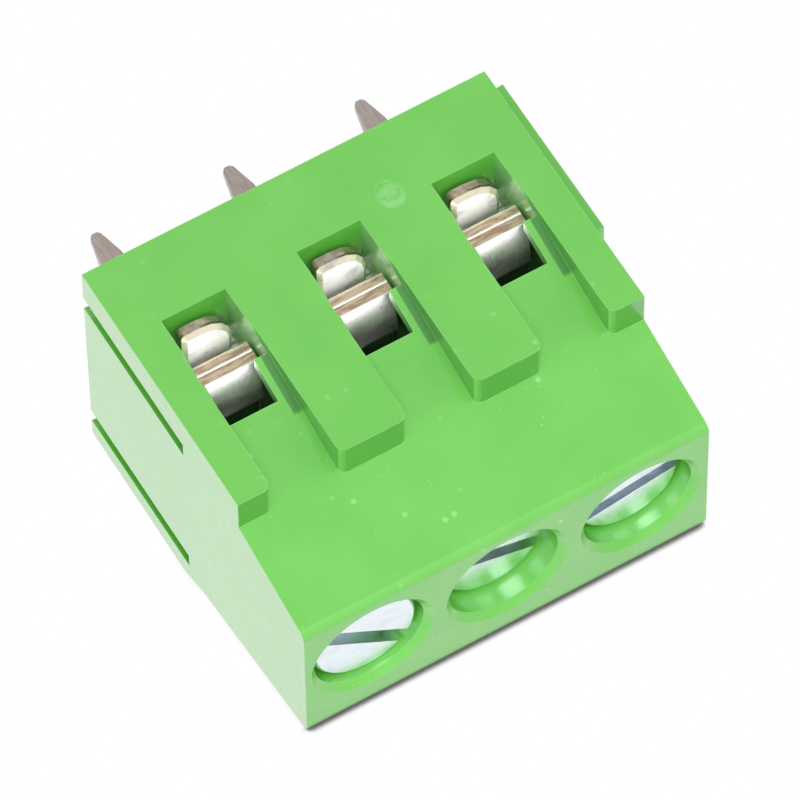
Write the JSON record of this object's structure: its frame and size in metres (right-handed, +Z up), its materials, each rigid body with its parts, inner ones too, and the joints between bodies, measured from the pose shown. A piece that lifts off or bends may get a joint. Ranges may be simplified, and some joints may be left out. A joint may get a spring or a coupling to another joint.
{
  "type": "screw terminal block",
  "caption": "Slant-faced board terminal block: plastic housing with slotted clamping screws on top, wire guards over lower jaws in the entries, solder pins below.",
  "frame": {"origin": "middle solder pin on the board plane", "axes": "+Z up from the board to the screw heads, +X along the row of poles towards the slotted side, wires enter towards +Y"},
  "size_m": [0.0159, 0.0101, 0.0182],
  "materials": {
    "housing": "satin",
    "contact": "tin plated, bare on its cut edges",
    "guard": "tin plated, bare on its cut edges",
    "screw": "zinc plated"
  },
  "bodies": {
    "block": {"housing": "housing", "contact_1": "contact", "contact_2": "contact", "contact_3": "contact"},
    "guard_1": {"wire_guard_1": "guard"},
    "screw_1": {"screw_1": "screw"},
    "guard_2": {"wire_guard_2": "guard"},
    "screw_2": {"screw_2": "screw"},
    "guard_3": {"wire_guard_3": "guard"},
    "screw_3": {"screw_3": "screw"}
  },
  "joints": [
    {"name": "guard_slide_1", "type": "slide", "parent": "block", "child": "guard_1", "axis": [0, 0, 1], "range_m": [-0.0006, 0.00075]},
    {"name": "screw_turn_1", "type": "hinge", "parent": "guard_1", "child": "screw_1", "pos_m": [-0.00508, 0, 0.0054], "axis": [0, 0, 1], "range_deg": [-433, 541]},
    {"name": "guard_slide_2", "type": "slide", "parent": "block", "child": "guard_2", "axis": [0, 0, 1], "range_m": [-0.0006, 0.00095]},
    {"name": "screw_turn_2", "type": "hinge", "parent": "guard_2", "child": "screw_2", "pos_m": [0, 0, 0.0054], "axis": [0, 0, 1], "range_deg": [-433, 685]},
    {"name": "guard_slide_3", "type": "slide", "parent": "block", "child": "guard_3", "axis": [0, 0, 1], "range_m": [-0.0006, 0.0004]},
    {"name": "screw_turn_3", "type": "hinge", "parent": "guard_3", "child": "screw_3", "pos_m": [0.00508, 0, 0.0054], "axis": [0, 0, 1], "range_deg": [-433, 289]}
  ],
  "couplings": [
    {"joint": "screw_turn_1", "follows": "guard_slide_1", "rad_per_m": 12566},
    {"joint": "screw_turn_2", "follows": "guard_slide_2", "rad_per_m": 12566},
    {"joint": "screw_turn_3", "follows": "guard_slide_3", "rad_per_m": 12566}
  ]
}
